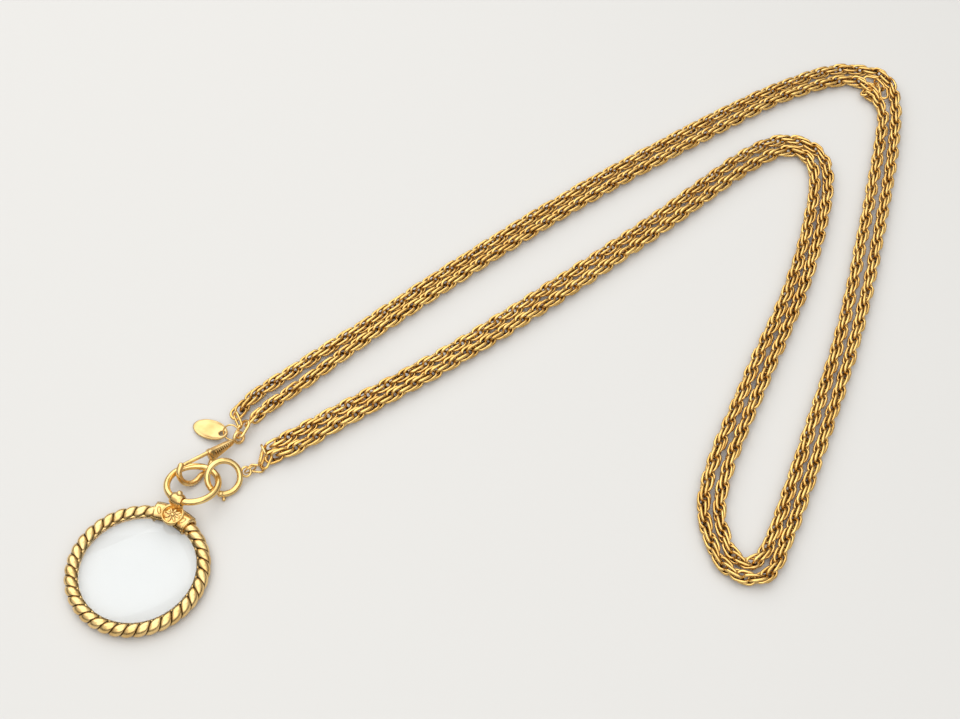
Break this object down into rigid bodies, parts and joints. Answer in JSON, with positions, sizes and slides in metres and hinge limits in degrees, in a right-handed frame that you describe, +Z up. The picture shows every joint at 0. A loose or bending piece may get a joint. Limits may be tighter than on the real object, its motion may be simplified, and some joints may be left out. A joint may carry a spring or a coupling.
{
  "type": "magnifier pendant on rope chain",
  "caption": "Round magnifying lens in a twisted-rope rim, hung by a snap hook and spring ring from a long double rope chain worn round the neck.",
  "frame": {"origin": "centre of the pendant and its connector ring, on the table they lie on", "axes": "+Y from the lens towards the bail, the ring and the chain; +Z up, out of the lens face; +X to the right seen from above"},
  "size_m": [0.2223, 0.3706, 0.0116],
  "materials": {
    "antique_gold": "polished, darkened in the grooves",
    "bright_gold": "polished",
    "chain_gold": "polished, worn",
    "lens_glass": "clear, polished",
    "spring_steel": "bare"
  },
  "bodies": {
    "chain": {"strand_outer": "chain_gold", "strand_inner": "chain_gold", "gather_ring": "bright_gold"},
    "connector": {"connector_ring": "bright_gold"},
    "pendant": {"rope_rim": "antique_gold", "lens": "lens_glass", "retaining_ring": "antique_gold", "collar": "antique_gold", "emblem_bezel": "bright_gold", "emblem_rosette": "antique_gold", "collar_rivets": "bright_gold", "bail": "antique_gold"},
    "hook": {"hook_body": "antique_gold", "gate_pin": "bright_gold", "gate_spring": "spring_steel"},
    "gate": {"hook_gate": "bright_gold"},
    "spring_ring": {"spring_ring_case": "bright_gold", "spring_ring_spring": "spring_steel"},
    "tongue": {"spring_ring_tongue": "bright_gold"},
    "end_ring": {"chain_end_ring": "bright_gold"},
    "clasp_links": {"jump_link": "bright_gold", "clasp_link": "bright_gold"},
    "tag_loop": {"tag_ring": "bright_gold"},
    "tag": {"hang_tag": "bright_gold"}
  },
  "joints": [
    {"name": "clasp_lift", "type": "hinge", "parent": "chain", "child": "connector", "pos_m": [0.0099, 0.0508, 0.0024], "axis": [-0.7264, 0.6614, 0.1868], "range_deg": [0, 90]},
    {"name": "pendant_swing", "type": "hinge", "parent": "connector", "child": "pendant", "pos_m": [-0.0002, 0.01663, 0.00825], "axis": [-0.9962, 0, -0.087], "range_deg": [-35, 90]},
    {"name": "hook_roll", "type": "hinge", "parent": "connector", "child": "hook", "pos_m": [0.003, 0.05054, 0.0028], "axis": [-0.3549, -0.9257, 0.131], "range_deg": [-4, 4]},
    {"name": "gate_open", "type": "hinge", "parent": "hook", "child": "gate", "pos_m": [-0.00211, 0.03927, 0.00551], "axis": [0.8003, -0.2291, 0.5542], "range_deg": [0, 14], "stiffness_Nm_per_rad": 0.002, "springref_deg": -28.65},
    {"name": "spring_ring_roll", "type": "hinge", "parent": "connector", "child": "spring_ring", "pos_m": [0.0079, 0.03294, 0.005], "axis": [0.6345, 0.7514, -0.1809], "range_deg": [-6, 6]},
    {"name": "tongue_slide", "type": "hinge", "parent": "spring_ring", "child": "tongue", "pos_m": [0.0079, 0.03294, 0.005], "axis": [0.5663, -0.2931, 0.7703], "range_deg": [0, 40], "stiffness_Nm_per_rad": 0.002, "springref_deg": -28.65, "deforming": ["spring_ring_spring"]},
    {"name": "end_ring_swing", "type": "hinge", "parent": "hook", "child": "end_ring", "pos_m": [0.00254, 0.05027, 0.00291], "axis": [-0.9047, 0.097, -0.4149], "range_deg": [-5, 5]},
    {"name": "clasp_links_swing", "type": "hinge", "parent": "spring_ring", "child": "clasp_links", "pos_m": [0.01317, 0.03918, 0.0035], "axis": [-0.413, -0.276, -0.8679], "range_deg": [-4, 4]},
    {"name": "tag_loop_swing", "type": "hinge", "parent": "end_ring", "child": "tag_loop", "pos_m": [0.00188, 0.05257, 0.00305], "axis": [-0.357, 0.508, 0.7839], "range_deg": [-4, 4]},
    {"name": "tag_swing", "type": "hinge", "parent": "tag_loop", "child": "tag", "pos_m": [-0.0033, 0.04995, 0.0023], "axis": [-0.033, 0.9993, -0.017], "range_deg": [0, 15]}
  ]
}
